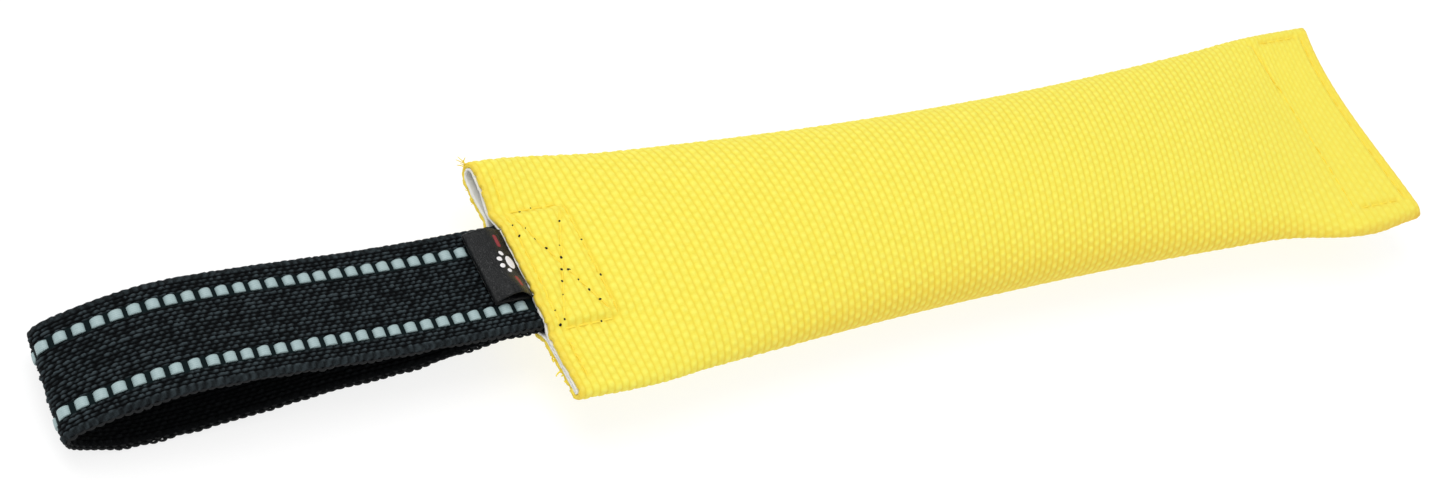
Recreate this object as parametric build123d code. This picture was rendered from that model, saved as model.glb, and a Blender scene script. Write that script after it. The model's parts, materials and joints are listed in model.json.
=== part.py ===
from build123d import *
import os
from math import cos, hypot, pi, sqrt

# Dog-training bumper: a stuffed length of woven hose with a webbing hand loop in its mouth.
# X runs along the hose, from the mouth and hand loop at -X to the closed end at +X.
# Y runs across it, and Z is up from the surface that it rests on.
# The origin is the middle of the resting face, and all sizes are in millimetres.

# Hose
body_length = 250.0
hose_flat_width = 60.0
far_end_narrowing = 2.6        # the tucked-in end is this much narrower than the flat hose
jacket_wall = 1.2
lining_wall = 0.4
body_half_height = 13.4        # half the stuffed height at the middle
rest_depth = 0.6               # how far the stuffed body flattens where it rests
end_lift = 2.0                 # the flat ends stand this much above the middle's centre line
bulge_power = 1.9              # 2 is a parabola from end to end
hem_length = 22.0              # tucked-in hem at the far end
far_half_height = 3.0

# Hand loop
webbing_width = 25.0
webbing_thickness = 1.5
loop_length = 107.0            # from the mouth to the end of the loop
loop_drop = 14.4               # from the mouth's centre line down to the loop's lowest face
loop_rise = 4.8                # from the mouth's centre line up to the loop's highest face
strap_offset = 1.4             # the strap lies this much to +Y of the middle
tail_length = 19.0             # webbing inside the mouth
flex_distance = 4.0            # from the mouth out to the line where the strap bends

# Reflective dashes
dash_pitch = 3.84
dash_length = 2.7
dash_width = 2.3
dash_thickness = 0.2
dash_lift = 0.1                # clear of the webbing where it curves inwards
stripe_spacing = 15.0          # between the two rows

# Label
label_width = 17.0
label_offset = 3.8             # its middle lies this much to +Y of the hose's middle
label_ply = 0.3
label_reach = 9.5              # from the mouth to the fold
label_tail_length = 4.0        # inside the mouth
label_arch = 0.8               # how far it bows up off the strap

# Sewing
thread_diameter = 0.6
stitch_length = 2.6
stitch_gap = 0.5
box_inset = 2.8                # from the mouth to the box stitch
box_length = 14.6
box_overhang = 2.2             # the box is this much wider than the strap on each side
mouth_row_inset = 3.6
far_row_inset = 3.2
side_row_inset = 3.0
row_margin = 2.5               # a row across the hose stops this far from its fold

# Clearances
shell_gap = 0.05               # between nested layers of one body
body_gap = 0.3                 # between pieces that move against each other

# Worked out from the above
mouth_x = -body_length / 2
far_x = body_length / 2
hose_wall = jacket_wall + lining_wall + shell_gap
axis_height = body_half_height - rest_depth
mouth_height = axis_height + end_lift
flex_x = mouth_x - flex_distance
label_thickness = 2 * label_ply
mouth_flat = box_inset + box_length + thread_diameter
strap_edge = strap_offset + webbing_width / 2
box_half_width = webbing_width / 2 + box_overhang
box_near = mouth_x + box_inset
box_far = box_near + box_length


def mouth_half_height():
    # The inside has to clear the strap and the label at the outer edge of each.
    inner_half_width = half_width(hose_flat_width, hose_wall + 2 * webbing_thickness) - hose_wall
    label_edge = label_offset + label_width / 2
    for_strap = (webbing_thickness + 2 * shell_gap) / sqrt(1 - (strap_edge / inner_half_width) ** 2)
    stack = webbing_thickness + label_thickness + 2 * shell_gap
    for_label = stack / sqrt(1 - (label_edge / inner_half_width) ** 2)
    return hose_wall + max(for_strap, for_label) + shell_gap


def half_width(flat_width, half_height):
    # An ellipse of this height whose perimeter is twice the flat width.
    power = 1.535
    return ((flat_width / 2) ** power - half_height**power) ** (1 / power)


def bulge(x):
    # 0 in the flat ends and 1 at the middle.
    start = mouth_x + mouth_flat
    end = far_x - hem_length
    along = min(max((x - start) / (end - start), 0), 1)
    return 1 - abs(1 - 2 * along) ** bulge_power


def section_size(x):
    # Half width, half height and centre height of the hose at a station.
    end_height = mouth_half_height() if x < 0 else far_half_height
    half_height = end_height + (body_half_height - end_height) * bulge(x)
    flat_width = hose_flat_width - far_end_narrowing * max(x / far_x, 0)
    centre = mouth_height - end_lift * bulge(x)
    return half_width(flat_width, half_height), half_height, centre


def stations(end):
    # Closer together at both ends of the bulge, where it curves most.
    first = mouth_x + mouth_flat
    last = far_x - hem_length
    spans = 16
    middle = [first + (last - first) * (1 - cos(pi * step / spans)) / 2 for step in range(spans + 1)]
    return [mouth_x] + middle + [x for x in (far_x,) if x <= end]


def hose_shape(inset, end):
    # The hose from the mouth to a station, its skin set in from the outer face.
    sections = []
    for x in stations(end):
        width, height, centre = section_size(x)
        plane = Plane(origin=(x, 0, centre), x_dir=(0, 1, 0), z_dir=(1, 0, 0))
        sections.append(plane * Ellipse(width - inset, height - inset))
    return loft(sections, ruled=True)


def below_ground():
    depth = 10 * body_half_height
    return Pos(0, 0, -depth / 2) * Box(4 * body_length, 4 * hose_flat_width, depth)


def hose_jacket():
    outer = hose_shape(0, far_x) - below_ground()
    return outer - hose_shape(jacket_wall, far_x - hem_length)


def hose_lining():
    end = far_x - hem_length
    outer = hose_shape(jacket_wall + shell_gap, end)
    return outer - hose_shape(hose_wall, end)


def fibre_filling():
    start = mouth_x + tail_length + thread_diameter
    end = far_x - hem_length
    room = Pos((start + end) / 2, 0, axis_height) * Box(
        end - start - 2 * shell_gap, 2 * hose_flat_width, 6 * body_half_height
    )
    return hose_shape(hose_wall + shell_gap, end) & room


def loop_path():
    # Centre line of the webbing in the XZ plane, from the flex line over the top and back below.
    half = webbing_thickness / 2
    left = mouth_x - loop_length + half
    top = mouth_height + loop_rise - half
    low = mouth_height - loop_drop + half
    reach = flex_x - left
    upper = mouth_height + half + shell_gap
    lower = mouth_height - half - shell_gap
    span = top - low
    points = [
        (flex_x, upper),
        (flex_x - 0.22 * reach, upper + 0.1 * (top - upper)),
        (flex_x - 0.68 * reach, top),
        (flex_x - 0.9 * reach, mouth_height + 0.04 * span),
        (left, mouth_height - 0.4 * span),
        (flex_x - 0.93 * reach, low + 0.1 * span),
        (flex_x - 0.8 * reach, low),
        (flex_x - 0.4 * reach, lower - 0.54 * (lower - low)),
        (flex_x - 0.2 * reach, lower - 0.33 * (lower - low)),
        (flex_x, lower),
    ]
    return Spline([(x, 0, z) for x, z in points], tangents=[(-1, 0, 0), (1, 0, 0)])


def webbing_band(path):
    # The strap's edge-on outline: the centre line widened by half a thickness on each side.
    half = webbing_thickness / 2
    spans = 40
    outer = []
    inner = []
    for step in range(spans + 1):
        share = step / spans
        here = path.position_at(share)
        along = path.tangent_at(share)
        normal = Vector(along.Z, 0, -along.X)
        outer.append(here + normal * half)
        inner.append(here - normal * half)
    outline = [
        Spline(outer),
        Line(outer[-1], inner[-1]),
        Spline(inner[::-1]),
        Line(inner[0], outer[0]),
    ]
    face = make_face(Wire(outline))
    return extrude(face, amount=webbing_width / 2, dir=(0, 1, 0), both=True)


def handle_loop():
    band = webbing_band(loop_path())
    knuckle = Pos(flex_x, 0, mouth_height) * Rot(90, 0, 0) * Cylinder(webbing_thickness, webbing_width)
    return Pos(0, strap_offset, 0) * (band + knuckle)


def strap_tails():
    start = flex_x + webbing_thickness + body_gap
    end = mouth_x + tail_length
    height = webbing_thickness - shell_gap
    tails = []
    for side in (1, -1):
        middle = mouth_height + side * (webbing_thickness + shell_gap) / 2
        place = Pos((start + end) / 2, strap_offset, middle)
        tails.append(place * Box(end - start, webbing_width, height))
    return Compound(children=tails)


def reflective_stripe(side):
    # One row of dashes round the outside of the loop.
    path = loop_path()
    count = int((path.length - 2 * flex_distance) / dash_pitch)
    start = (path.length - (count - 1) * dash_pitch) / 2
    row = strap_offset + side * stripe_spacing / 2
    out = webbing_thickness / 2 + dash_lift + dash_thickness / 2
    dashes = []
    for index in range(count):
        share = (start + index * dash_pitch) / path.length
        here = path.position_at(share)
        along = path.tangent_at(share)
        normal = Vector(along.Z, 0, -along.X)
        middle = here + normal * out + Vector(0, row, 0)
        place = Plane(origin=middle, x_dir=along, z_dir=normal)
        dashes.append(place * Box(dash_length, dash_width, dash_thickness))
    return Compound(children=dashes)


def label_tab():
    # The folded tab from its bending line out to the fold, bowed up off the strap.
    low = mouth_height + webbing_thickness + body_gap
    root_x = flex_x - webbing_thickness
    fold_x = mouth_x - label_reach
    half = label_thickness / 2
    root = (root_x, 0, low + half)
    fold = (fold_x + half, 0, low + half)
    crown = ((root_x + fold_x) / 2, 0, low + half + label_arch)
    spine = ThreePointArc(root, crown, fold)
    outer = [(root[0], 0, root[2] + half), (crown[0], 0, crown[2] + half), (fold[0], 0, fold[2] + half)]
    inner = [(fold[0], 0, fold[2] - half), (crown[0], 0, crown[2] - half), (root[0], 0, root[2] - half)]
    outline = Wire([
        ThreePointArc(*outer),
        Line(outer[2], inner[0]),
        ThreePointArc(*inner),
        Line(inner[2], outer[0]),
    ])
    tab = extrude(make_face(outline), amount=label_width / 2, dir=(0, 1, 0), both=True)
    for end in (spine @ 0, spine @ 1):
        tab += Pos(end.X, 0, end.Z) * Rot(90, 0, 0) * Cylinder(half, label_width)
    return Pos(0, label_offset, 0) * tab


def label_tail():
    start = mouth_x - label_thickness
    end = mouth_x + label_tail_length
    low = mouth_height + webbing_thickness + shell_gap
    place = Pos((start + end) / 2, label_offset, low + label_thickness / 2)
    return place * Box(end - start, label_width, label_thickness)


def hose_face(x, y, side):
    # Height of the hose's outer face, above (1) or below (-1) its centre line.
    width, height, centre = section_size(x)
    return centre + side * height * sqrt(max(1 - (y / width) ** 2, 0))


def stitch_row(start, end, side):
    # Straight stitches lying on the hose between two points given as (x, y).
    run = hypot(end[0] - start[0], end[1] - start[1])
    pitch = stitch_length + stitch_gap
    count = max(int(run / pitch), 1)
    lift = side * (thread_diameter / 2 + shell_gap)
    stitches = []
    for index in range(count):
        ends = []
        for share in (index * pitch, index * pitch + stitch_length):
            along = (share + (run - count * pitch + stitch_gap) / 2) / run
            x = start[0] + (end[0] - start[0]) * along
            y = start[1] + (end[1] - start[1]) * along
            ends.append(Vector(x, y, hose_face(x, y, side) + lift))
        axis = ends[1] - ends[0]
        place = Plane(origin=ends[0], z_dir=axis)
        rod = Cylinder(thread_diameter / 2, axis.length, align=(Align.CENTER, Align.CENTER, Align.MIN))
        stitches.append(place * rod)
    return stitches


def thread_of(rows, side):
    stitches = []
    for start, end in rows:
        stitches += stitch_row(start, end, side)
    return Compound(children=stitches)


def box_rows():
    left = strap_offset - box_half_width
    right = strap_offset + box_half_width
    corners = [(box_near, left), (box_near, right), (box_far, right), (box_far, left)]
    return [(corners[i], corners[(i + 1) % 4]) for i in range(4)]


def cross_rows():
    left = strap_offset - box_half_width
    right = strap_offset + box_half_width
    inset = thread_diameter * 2
    return [
        ((box_near + inset, left + inset), (box_far - inset, right - inset)),
        ((box_near + inset, right - inset), (box_far - inset, left + inset)),
    ]


def mouth_rows():
    x = mouth_x + mouth_row_inset
    edge = section_size(x)[0] - row_margin
    clear = box_half_width + thread_diameter * 2
    return [((x, -edge), (x, strap_offset - clear)), ((x, strap_offset + clear), (x, edge))]


def far_edge_rows():
    x = far_x - far_row_inset
    edge = section_size(x)[0] - row_margin
    return [((x, -edge), (x, edge))]


def far_inner_rows():
    x = far_x - hem_length + thread_diameter
    edge = section_size(x)[0] - row_margin
    return [((x, -edge), (x, edge))]


def far_side_rows():
    start = far_x - hem_length + 4 * thread_diameter
    end = far_x - far_row_inset - 2 * thread_diameter
    edge = section_size(end)[0] - side_row_inset
    return [((start, side * edge), (end, side * edge)) for side in (1, -1)]


def sewing():
    # Each row has a needle thread on top and a bobbin thread underneath.
    rows = {
        "box_stitch": box_rows(),
        "cross_stitch": cross_rows(),
        "mouth_row": mouth_rows(),
        "far_edge_row": far_edge_rows(),
        "far_inner_row": far_inner_rows(),
        "far_side_rows": far_side_rows(),
    }
    threads = {}
    for name, places in rows.items():
        threads[name + "_thread"] = thread_of(places, 1)
        threads[name + "_bobbin"] = thread_of(places, -1)
    return threads


def all_parts():
    parts = {
        "hose_jacket": hose_jacket(),
        "hose_lining": hose_lining(),
        "fibre_filling": fibre_filling(),
        "strap_tails": strap_tails(),
        "handle_loop": handle_loop(),
        "reflective_stripe_far": reflective_stripe(1),
        "reflective_stripe_near": reflective_stripe(-1),
        "label_tab": label_tab(),
        "label_tail": label_tail(),
    }
    parts.update(sewing())
    return parts


os.makedirs("parts", exist_ok=True)
for name, shape in all_parts().items():
    export_step(shape, f"parts/{name}.step")
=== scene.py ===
import json
from math import cos, pi, radians, sin

import bpy
import numpy as np
from mathutils import Matrix, Vector
from mathutils.bvhtree import BVHTree


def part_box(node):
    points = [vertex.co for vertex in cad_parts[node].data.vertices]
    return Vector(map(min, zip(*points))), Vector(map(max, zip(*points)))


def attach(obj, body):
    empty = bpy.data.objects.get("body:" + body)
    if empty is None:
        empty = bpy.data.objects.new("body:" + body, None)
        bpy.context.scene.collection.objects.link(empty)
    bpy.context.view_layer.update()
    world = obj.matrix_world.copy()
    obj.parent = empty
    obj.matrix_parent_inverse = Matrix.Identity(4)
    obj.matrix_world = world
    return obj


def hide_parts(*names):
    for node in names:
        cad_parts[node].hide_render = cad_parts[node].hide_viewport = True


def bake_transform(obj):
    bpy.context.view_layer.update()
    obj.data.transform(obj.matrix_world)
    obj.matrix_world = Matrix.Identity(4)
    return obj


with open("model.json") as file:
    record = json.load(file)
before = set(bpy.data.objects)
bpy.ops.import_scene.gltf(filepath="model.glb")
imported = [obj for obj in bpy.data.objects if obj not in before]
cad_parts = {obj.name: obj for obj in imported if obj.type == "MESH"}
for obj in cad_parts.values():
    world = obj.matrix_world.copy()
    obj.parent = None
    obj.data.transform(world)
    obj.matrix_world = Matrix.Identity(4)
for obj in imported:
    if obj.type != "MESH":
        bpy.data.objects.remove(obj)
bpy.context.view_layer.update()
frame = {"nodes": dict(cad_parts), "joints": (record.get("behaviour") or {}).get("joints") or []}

# A stuffed dog-training bumper: woven hose, webbing hand loop, leather-look label.
# The making is in millimetres, and meshes are written in metres.
mm = 0.001
rng = np.random.default_rng(7)


def boxOf(node):
    low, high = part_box(node)
    return np.array(low) / mm, np.array(high) / mm


def jointPlace(name):
    return [c / mm for c in next(j for j in frame["joints"] if j["name"] == name)["pos_m"]]


jacketLow, jacketHigh = boxOf("hose_jacket")
loopLow, loopHigh = boxOf("handle_loop")
tailHigh = boxOf("strap_tails")[1]
mouthX, farX = jacketLow[0], jacketHigh[0]
flexX, strapY, mouthZ = jointPlace("loop_swing")
hingeX, labelY = jointPlace("label_lift")[:2]


class Signal:
    # a shader socket whose arithmetic adds Math nodes
    def __init__(self, finish, socket):
        self.finish = finish
        self.socket = socket

    def maths(self, operation, *values):
        return self.finish.add("ShaderNodeMath", {"operation": operation}, dict(enumerate(values)))

    def __add__(self, other):
        return self.maths("ADD", self, other)

    def __radd__(self, other):
        return self.maths("ADD", other, self)

    def __sub__(self, other):
        return self.maths("SUBTRACT", self, other)

    def __rsub__(self, other):
        return self.maths("SUBTRACT", other, self)

    def __mul__(self, other):
        return self.maths("MULTIPLY", self, other)

    def __rmul__(self, other):
        return self.maths("MULTIPLY", other, self)

    def wave(self):
        return self.maths("SINE", self)

    def clipped(self, low=0.0, high=1.0):
        return self.maths("MINIMUM", self.maths("MAXIMUM", self, low), high)


class Finish:
    # one material; add() makes any node
    def __init__(self, name):
        self.material = bpy.data.materials.new(name)
        self.material.use_nodes = True
        self.tree = self.material.node_tree
        self.tree.nodes.clear()

    def add(self, kind, settings=None, sockets=None, out=0):
        node = self.tree.nodes.new(kind)
        for key, value in (settings or {}).items():
            if key == "stops":
                while len(node.color_ramp.elements) < len(value):
                    node.color_ramp.elements.new(0.5)
                for element, (place, colour) in zip(node.color_ramp.elements, value):
                    element.position = place
                    element.color = colour
            else:
                setattr(node, key, value)
        for key, value in (sockets or {}).items():
            if isinstance(value, Signal):
                self.tree.links.new(value.socket, node.inputs[key])
            else:
                node.inputs[key].default_value = value
        return Signal(self, node.outputs[out])

    def stored(self, name, out="Fac"):
        return self.add("ShaderNodeAttribute", {"attribute_name": name}, out=out)

    def objectPlace(self):
        return self.add("ShaderNodeTexCoord", out="Object")

    def stretched(self, vector, scale):
        settings = {"operation": "MULTIPLY"}
        return self.add("ShaderNodeVectorMath", settings, {0: vector, 1: scale})

    def noise(self, vector, scale, detail=3.0, roughness=0.55):
        sockets = {"Vector": vector, "Scale": scale, "Detail": detail, "Roughness": roughness}
        return self.add("ShaderNodeTexNoise", {}, sockets)

    def mixed(self, share, first, second):
        settings = {"data_type": "RGBA"}
        return self.add("ShaderNodeMix", settings, {0: share, 6: first, 7: second}, out=2)

    def bumped(self, height, distance, strength=1.0, under=None):
        sockets = {"Height": height, "Distance": distance, "Strength": strength}
        if under:
            sockets["Normal"] = under
        return self.add("ShaderNodeBump", {}, sockets)

    def surface(self, **sockets):
        named = {key.replace("_", " "): value for key, value in sockets.items()}
        shader = self.add("ShaderNodeBsdfPrincipled", {}, named)
        return self.shown(shader)

    def shown(self, shader):
        output = self.tree.nodes.new("ShaderNodeOutputMaterial")
        self.tree.links.new(shader.socket, output.inputs["Surface"])
        return self.material


def colour(red, green, blue):
    # screen values 0 to 255, as linear light
    def linear(value):
        value /= 255
        return value / 12.92 if value <= 0.04045 else ((value + 0.055) / 1.055) ** 2.4
    return (linear(red), linear(green), linear(blue), 1.0)


def smooth01(value):
    value = np.clip(value, 0, 1)
    return value * value * (3 - 2 * value)


def unit(vectors):
    return vectors / np.maximum(np.linalg.norm(vectors, axis=-1, keepdims=True), 1e-9)


def runOf(points):
    # length along a line of points, at each of them
    return np.concatenate([[0], np.cumsum(np.linalg.norm(np.diff(points, axis=0), axis=1))])


def resampled(at, run, points):
    return np.stack([np.interp(at, run, points[:, k]) for k in (0, 1)], -1)


def linked(name, data):
    thing = bpy.data.objects.new(name, data)
    bpy.context.scene.collection.objects.link(thing)
    return thing


def gridMesh(name, points, ringClosed=True, capEnds=False, attributes=None, material=None):
    # a grid of points (rows, ring, 3) in millimetres as one quad mesh
    rows, ring = points.shape[:2]
    index = np.arange(rows * ring).reshape(rows, ring)
    nextRing = np.roll(index, -1, axis=1)
    if not ringClosed:
        index, nextRing = index[:, :-1], nextRing[:, :-1]
    quads = np.stack([index[:-1], nextRing[:-1], nextRing[1:], index[1:]], -1).reshape(-1, 4)
    faces = quads.tolist()
    if capEnds:
        faces.append(list(range(ring - 1, -1, -1)))
        faces.append(list(range((rows - 1) * ring, rows * ring)))
    return meshObject(name, points.reshape(-1, 3), faces, attributes, material)


def meshObject(name, points, faces, attributes=None, material=None):
    data = bpy.data.meshes.new(name)
    data.from_pydata((np.asarray(points) * mm).tolist(), [], faces)
    data.validate()
    data.shade_smooth()
    for key, values in (attributes or {}).items():
        values = np.asarray(values, np.float32)
        if values.ndim > 1 and values.shape[-1] == 3:
            store = data.attributes.new(key, "FLOAT_VECTOR", "POINT")
            store.data.foreach_set("vector", values.reshape(-1))
        else:
            store = data.attributes.new(key, "FLOAT", "POINT")
            store.data.foreach_set("value", values.reshape(-1))
    if material:
        data.materials.append(material)
    return linked(name, data)


def gridNormals(points):
    # outward normals of a tube grid whose ring is closed
    alongStep = np.gradient(points, axis=0)
    ringStep = np.roll(points, -1, axis=1) - np.roll(points, 1, axis=1)
    return unit(np.cross(ringStep, alongStep))


class Bundle:
    # many small tubes gathered into one mesh
    def __init__(self):
        self.points = []
        self.faces = []
        self.count = 0
        self.values = []

    def tube(self, path, radius, sides=7, value=0.0, twist=0.0):
        path = np.asarray(path, float)
        along = unit(np.gradient(path, axis=0))
        guide = np.array([0.0, 0.0, 1.0])
        if np.abs(along[:, 2]).mean() > 0.8:
            guide = np.array([0.0, 1.0, 0.0])
        side = unit(np.cross(along, guide))
        up = np.cross(side, along)
        radius = np.broadcast_to(radius, len(path))
        angle = np.arange(sides) * 2 * pi / sides
        lobes = 1 + 0.16 * np.cos(2 * (angle[None] - twist * np.arange(len(path))[:, None]))
        reach = radius[:, None] * (lobes if twist else 1 + 0 * lobes)
        ring = path[:, None] + reach[..., None] * (
            np.cos(angle)[None, :, None] * side[:, None]
            + np.sin(angle)[None, :, None] * up[:, None])
        rows = len(path)
        index = np.arange(rows * sides).reshape(rows, sides) + self.count
        after = np.roll(index, -1, axis=1)
        quads = np.stack([index[:-1], index[1:], after[1:], after[:-1]], -1).reshape(-1, 4)
        self.faces += quads.tolist()
        self.faces.append(index[0].tolist())
        self.faces.append(index[-1][::-1].tolist())
        self.points.append(ring.reshape(-1, 3))
        self.values.append(np.full(rows * sides, value))
        self.count += rows * sides

    def mesh(self, name, material):
        values = {"shade": np.concatenate(self.values)}
        return meshObject(name, np.concatenate(self.points), self.faces, values, material)


hose = {
    "flatWidth": 60.0,
    "farNarrowing": 2.0,
    "jacketWall": 1.2,
    "liningWall": 0.45,
    "halfHeight": 12.75,       # half the stuffed height before the stuffing presses out
    "bulgePower": 2.0,
    "roundness": 1.535,        # how square the stuffed section is
    "endLift": 2.0,
    "mouthFlat": 17.7,
    "hem": 22.0,
    "mouthHalfWidth": 29.9,
    "farHalfWidth": 28.5,
    "farHalf": 2.6,            # half thickness of the tucked end
    "strapHalf": 1.6,          # half the two plies of webbing
    "labelPly": 0.55,
    "foldOpening": 1.35,       # how far the mouth stands open at the +Y fold
    "nearRise": 0.8,           # the near mouth corner stands up and in
    "nearShift": 0.6,
    "farRise": 1.3,            # the far mouth corner stands up
    "farBow": 3.2,             # the tucked end is this much shorter in the middle
    "farFlare": 2.8,           # the near corner of the tucked end reaches out
    "pickPitch": 1.87,         # weft columns along the hose
    "warps": 112,              # warp yarns round the hose
    "weaveHeight": 0.3,
    "samplesAlong": 4,
    "samplesAround": 4,
    "skew": 0.28,              # the weft leans this much across the stuffed part
    "rimJitter": 0.14,
    "pressDepth": 0.35,        # how far a row of stitches pulls the cloth in
    "pressReach": 0.85,
    "simRows": 90,
    "simRing": 64,
    "simCap": 1.6,
    "simPressure": 60.0,
    "simFrames": 20,
    "simStiffness": 400.0,
    "simShear": 100.0,
    "simBending": 0.6,
    "simMass": 0.25,
    "simDamping": 12.0,
}
plyWall = hose["jacketWall"] + hose["liningWall"]
hoseLength = farX - mouthX
bulgeStart = mouthX + hose["mouthFlat"]
bulgeEnd = farX - hose["hem"]


def bulge(x):
    along = min(max((x - bulgeStart) / (bulgeEnd - bulgeStart), 0), 1)
    return 1 - abs(1 - 2 * along) ** hose["bulgePower"]


def evenly(outline, count):
    # count points equally spaced along a closed outline, from its first point
    closed = np.vstack([outline, outline[:1]])
    run = runOf(closed)
    return resampled(np.arange(count) / count * run[-1], run, closed)


def roundSection(flatWidth, halfHeight, count):
    power = hose["roundness"]
    halfWidth = ((flatWidth / 2) ** power - halfHeight**power) ** (1 / power)
    angle = np.linspace(0, 2 * pi, 1440, endpoint=False)
    outline = np.stack([halfWidth * np.cos(angle), halfHeight * np.sin(angle)], -1)
    return evenly(outline, count)


def flatSection(x, count):
    # two plies lying on each other, spread by what is between them
    atMouth = x < 0
    inside = x - mouthX
    halfWidth = hose["mouthHalfWidth"] if atMouth else hose["farHalfWidth"]

    def halfThickness(y, top):
        if not atMouth:
            return np.full_like(y, hose["farHalf"])
        overStrap = smooth01((16.0 - np.abs(y - strapY)) / 3.6)
        thick = plyWall + 0.1 + (hose["strapHalf"] - 0.1) * overStrap
        opening = smooth01((y - 14.5) / 9.0) * smooth01(1.15 - inside / 15.0)
        thick = thick + hose["foldOpening"] * opening
        if top:
            thick = thick + hose["labelPly"] * smooth01((10.5 - np.abs(y - labelY)) / 2.5) \
                * smooth01(1.6 - inside / 5.0)
        return thick

    across = halfWidth * np.cos(np.linspace(0, pi, 481))
    sides = []
    for top in (True, False):
        thick = halfThickness(across, top)
        beyond = np.clip((np.abs(across) - (halfWidth - thick)) / thick, 0, 1)
        sides.append(thick * np.sqrt(1 - beyond**2))
    over = np.stack([across, sides[0]], -1)
    under = np.stack([across, -sides[1]], -1)[::-1]
    return evenly(np.vstack([over[:-1], under[:-1]]), count)


def hoseSection(x, count, fullness=1.0):
    # (y, z) round the hose at x, from its +Y fold over the top
    flatWidth = hose["flatWidth"] - hose["farNarrowing"] * max(x / farX, 0)
    rise = bulge(x) * fullness
    endHalf = 4.0 if x < 0 else 3.0
    full = roundSection(flatWidth, endHalf + (hose["halfHeight"] - endHalf) * rise, count)
    if x < 0:
        share = smooth01((x - mouthX - 9.0) / 26.0)
    else:
        share = smooth01((farX - 14.0 - x) / 24.0)
    section = full if share >= 1 else share * full + (1 - share) * flatSection(x, count)
    centre = mouthZ - hose["endLift"] * bulge(x)
    near = smooth01((-section[:, 0] - 8) / 22) * smooth01((mouthX + 32 - x) / 32)
    far = smooth01((section[:, 0] - 12) / 18) * smooth01((mouthX + 24 - x) / 24)
    flare = smooth01((-section[:, 0] - 8) / 20) * smooth01((x - farX + 48) / 30)
    flare = flare * (1 - 0.5 * smooth01((x - farX + 16) / 16))
    y = section[:, 0] + hose["nearShift"] * near - hose["farFlare"] * flare
    z = section[:, 1] + centre + hose["nearRise"] * near + hose["farRise"] * far
    return np.stack([np.full(count, x), y, z], -1)


def bowed(x, y):
    # the sewn end draws in between its corners
    y = np.clip(y / 30, -1, 1)
    return x - hose["farBow"] * (1 - y**2) * (1 + 0.7 * y) * smooth01((x - farX + 30) / 30)


def restOnFloor(points, hem=0.9):
    # the underside flattens where it lies
    z = points[..., 2]
    points[..., 2] = 0.5 * (z + np.sqrt(z * z + hem * hem)) - 0.25 * hem
    return points


def spread(coarse, rowPlaces, count):
    # smooth interpolation of a coarse grid along and round
    rows, ring = coarse.shape[:2]

    def cubic(values, places, periodic):
        base = np.floor(places).astype(int)
        f = (places - base)[:, None, None]
        size = len(values)
        four = (base + k for k in (-1, 0, 1, 2))
        a, b, c, d = (values[p % size if periodic else np.clip(p, 0, size - 1)] for p in four)
        return b + 0.5 * f * (
            c - a + f * (2 * a - 5 * b + 4 * c - d + f * (3 * (b - c) + d - a)))

    along = cubic(coarse, rowPlaces, False)
    around = cubic(along.transpose(1, 0, 2), np.arange(count) / count * ring, True)
    return around.transpose(1, 0, 2)


def stuffedShift():
    # cloth simulation: the stuffing presses the jacket out between its sewn ends
    rows, ring = hose["simRows"], hose["simRing"]
    places = np.linspace(mouthX, farX, rows)
    start = np.stack([hoseSection(x, ring, 0.97) for x in places])
    thing = gridMesh("simulatedHose", start)
    pins = thing.vertex_groups.new(name="sewn")
    for row, x in enumerate(places):
        held = max(smooth01((bulgeStart + 3 - x) / 6), smooth01((x - bulgeEnd + 1) / 6))
        if held > 0:
            pins.add([row * ring + k for k in range(ring)], float(held), "REPLACE")
    cloth = thing.modifiers.new("cloth", "CLOTH")
    use = cloth.settings
    use.quality = 7
    use.mass = hose["simMass"]
    use.tension_stiffness = hose["simStiffness"]
    use.compression_stiffness = hose["simStiffness"]
    use.shear_stiffness = hose["simShear"]
    use.bending_stiffness = hose["simBending"]
    use.tension_damping = hose["simDamping"]
    use.vertex_group_mass = "sewn"
    use.use_pressure = True
    use.uniform_pressure_force = hose["simPressure"]
    use.effector_weights.gravity = 0
    cloth.collision_settings.use_self_collision = False
    cloth.point_cache.frame_start = 1
    cloth.point_cache.frame_end = hose["simFrames"]
    for step in range(1, hose["simFrames"] + 1):
        bpy.context.scene.frame_set(step)
    held = thing.evaluated_get(bpy.context.evaluated_depsgraph_get()).to_mesh()
    after = np.zeros(rows * ring * 3, np.float32)
    held.vertices.foreach_get("co", after)
    bpy.context.scene.frame_set(1)
    data = thing.data
    bpy.data.objects.remove(thing)
    bpy.data.meshes.remove(data)
    shift = after.reshape(rows, ring, 3) / mm - start
    size = np.linalg.norm(shift, axis=-1, keepdims=True)
    print(f"simulated shift, mm: mean {size.mean():.2f} most {size.max():.2f}")
    cap = hose["simCap"]
    return shift * cap / np.maximum(size, cap)


def rodsOf(node):
    # the two ends of every stitch in a CAD thread node, in millimetres
    data = frame["nodes"][node].data
    points = np.zeros(len(data.vertices) * 3)
    data.vertices.foreach_get("co", points)
    points = points.reshape(-1, 3) / mm
    keys = {}
    merged = np.array([keys.setdefault(tuple(p), len(keys)) for p in np.round(points, 3)])
    parent = list(range(len(keys)))

    def root(k):
        while parent[k] != k:
            parent[k] = parent[parent[k]]
            k = parent[k]
        return k

    for face in data.polygons:
        first = root(int(merged[face.vertices[0]]))
        for corner in face.vertices[1:]:
            parent[root(int(merged[corner]))] = first
    groups = {}
    for k in range(len(points)):
        groups.setdefault(root(int(merged[k])), []).append(points[k])
    rods = []
    for members in groups.values():
        members = np.array(members)
        centre = members.mean(0)
        axis = np.linalg.svd(members - centre)[2][0]
        along = (members - centre) @ axis
        low, high = along < along.min() + 0.1, along > along.max() - 0.1
        rods.append((members[low].mean(0), members[high].mean(0)))
    return rods


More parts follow.
